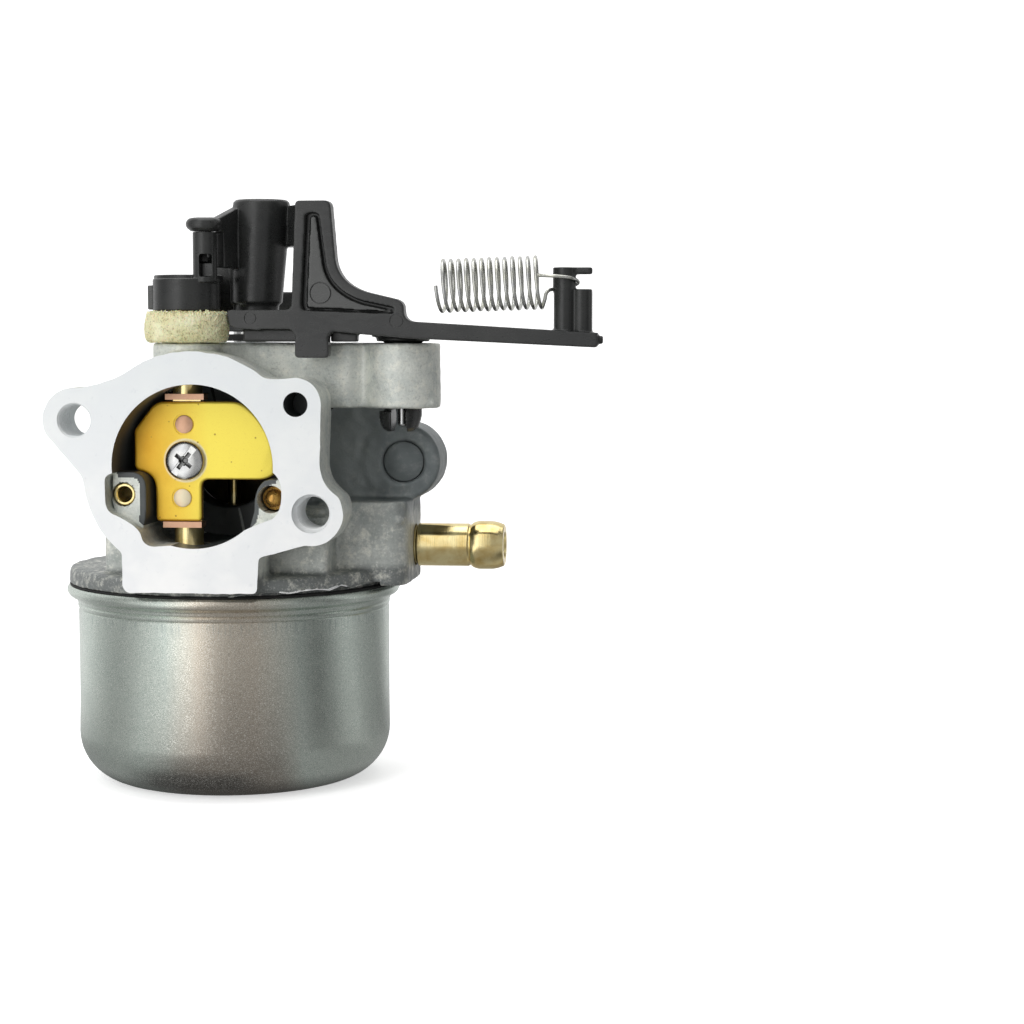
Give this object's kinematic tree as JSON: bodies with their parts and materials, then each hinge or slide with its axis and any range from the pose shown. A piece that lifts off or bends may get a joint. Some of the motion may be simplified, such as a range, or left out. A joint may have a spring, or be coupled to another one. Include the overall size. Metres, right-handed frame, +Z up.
{
  "type": "carburetor",
  "caption": "Small-engine float-bowl carburetor with flanged die-cast body, drawn steel bowl, hose-barb fuel inlet, choke and a swinging plastic control lever.",
  "frame": {"origin": "centre of the whole part's box in plan, at the foot of the float bowl", "axes": "+Z up through the float bowl, -Y towards the air cleaner, +Y towards the engine, +X towards the fuel inlet"},
  "size_m": [0.0838, 0.052, 0.0877],
  "materials": {
    "die_cast": "as-cast zinc-aluminium alloy, machined faces brighter",
    "zinc_steel": "satin zinc-plated drawn steel",
    "steel": "bright plated steel",
    "brass": "polished turned brass",
    "copper_shaft": "copper-coloured brass",
    "gold_zinc": "golden-yellow passivated steel",
    "black_plastic": "satin black moulded plastic, lightly scuffed",
    "black_rubber": "black rubber seal",
    "fibre": "pressed fibre washer",
    "foam": "open-cell foam ring",
    "float_plastic": "moulded float"
  },
  "bodies": {
    "root": {"carburetor_body": "die_cast", "float_bowl": "zinc_steel", "bowl_gasket": "black_rubber", "bowl_bolt": "zinc_steel", "bowl_bolt_washer": "fibre", "main_jet": "brass", "main_nozzle": "brass", "air_jet": "brass", "passage_plug": "brass", "boss_plug": "die_cast", "fuel_inlet_barb": "brass", "inlet_seat": "brass", "float_hinge_pin": "steel", "foam_seal": "foam", "throttle_shaft_seal": "black_rubber"},
    "choke": {"choke_shaft": "copper_shaft", "choke_plate": "gold_zinc", "choke_screw": "steel", "choke_rivet_1": "copper_shaft", "choke_rivet_2": "copper_shaft", "choke_lever": "black_plastic"},
    "throttle": {"throttle_shaft": "steel", "throttle_plate": "brass", "throttle_screw": "steel", "throttle_lever": "black_plastic", "throttle_lever_clip": "steel"},
    "lever": {"control_lever": "black_plastic", "pivot_lock_pin": "steel", "governor_spring": "steel"},
    "float_assembly": {"float": "float_plastic", "float_arm": "steel"},
    "needle": {"inlet_needle": "steel"}
  },
  "joints": [
    {"name": "lever_swing", "type": "hinge", "parent": "root", "child": "lever", "pos_m": [0.01145, -0.0105, 0.069], "axis": [0, 0, 1], "range_deg": [-10.5, 0]},
    {"name": "choke_turn", "type": "hinge", "parent": "root", "child": "choke", "pos_m": [-0.01905, -0.018, 0.06], "axis": [0, 0, 1], "range_deg": [0, 75]},
    {"name": "throttle_turn", "type": "hinge", "parent": "root", "child": "throttle", "pos_m": [-0.01655, 0.012, 0.06], "axis": [0, 0, 1], "range_deg": [-75, 0]},
    {"name": "float_swing", "type": "hinge", "parent": "root", "child": "float_assembly", "pos_m": [0.00295, 0, 0.0283], "axis": [0, 1, 0], "range_deg": [0, 8]},
    {"name": "needle_slide", "type": "slide", "parent": "root", "child": "needle", "axis": [0, 0, 1], "range_m": [0, 0.00105]}
  ],
  "couplings": [
    {"joint": "choke_turn", "follows": "lever_swing", "ratio": -7.1429},
    {"joint": "needle_slide", "follows": "float_swing", "m_per_rad": 0.0075}
  ]
}
